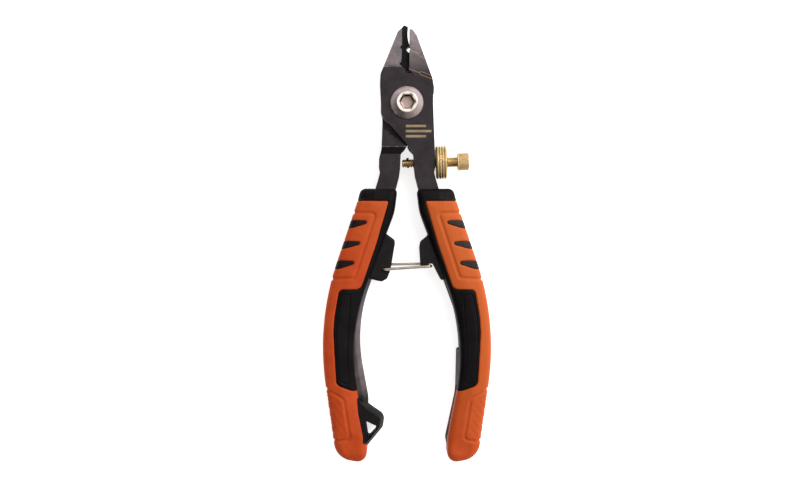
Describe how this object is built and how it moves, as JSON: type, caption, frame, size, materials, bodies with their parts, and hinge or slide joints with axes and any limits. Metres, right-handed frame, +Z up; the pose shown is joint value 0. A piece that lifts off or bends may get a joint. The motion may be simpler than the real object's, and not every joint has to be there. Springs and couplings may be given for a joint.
{
  "type": "wire stripper",
  "caption": "Adjustable wire-stripping pliers with half-lapped steel jaws, a brass stop screw with its lock nut, a wire bail lock and two-colour moulded grips.",
  "frame": {"origin": "on the pivot axis, at the flat of the pivot nut's head, which is the plane that the tool rests on", "axes": "+Z up along the pivot axis, away from the resting plane; +Y towards the jaws; +X towards the handle with the stop screw"},
  "size_m": [0.0624, 0.1626, 0.014],
  "materials": {
    "blackened_steel": "black-oxide steel, satin",
    "bright_steel": "nickel-plated, turned",
    "spring_steel": "oiled spring wire",
    "bail_wire": "drawn stainless wire",
    "brass": "machined and knurled",
    "black_plastic": "fine moulded texture",
    "black_rubber": "soft matte",
    "orange_rubber": "soft satin"
  },
  "bodies": {
    "front_half": {"front_lever": "blackened_steel", "pivot_bolt": "bright_steel", "pivot_nut": "bright_steel", "torsion_spring": "spring_steel", "right_spine": "black_plastic", "right_grip_core": "black_plastic", "right_grip_cover": "orange_rubber", "right_grip_inlays": "black_rubber", "right_palm_panels": "black_rubber"},
    "rear_half": {"rear_lever": "blackened_steel", "left_spine": "black_plastic", "left_grip_core": "black_plastic", "left_grip_cover": "orange_rubber", "left_grip_inlays": "black_rubber", "left_palm_panels": "black_rubber"},
    "bail": {"bail": "bail_wire"},
    "stop_screw": {"stop_screw": "brass", "stop_screw_pin": "spring_steel"},
    "lock_nut": {"lock_nut": "brass"}
  },
  "joints": [
    {"name": "handles", "type": "hinge", "parent": "front_half", "child": "rear_half", "pos_m": [0, 0, 0.007], "axis": [0, 0, -1], "range_deg": [0, 20], "deforming": ["torsion_spring"]},
    {"name": "bail_swing", "type": "hinge", "parent": "rear_half", "child": "bail", "pos_m": [-0.0086, -0.06195, 0.007], "axis": [0, 0, -1], "range_deg": [0, 105]},
    {"name": "stop_screw_feed", "type": "slide", "parent": "front_half", "child": "stop_screw", "axis": [0.9996, 0.03, 0], "range_m": [0, 0.0017]},
    {"name": "lock_nut_travel", "type": "slide", "parent": "front_half", "child": "lock_nut", "axis": [0.9996, 0.03, 0], "range_m": [0, 0.0015]}
  ],
  "couplings": [
    {"joint": "bail_swing", "follows": "handles", "ratio": 5.25}
  ]
}
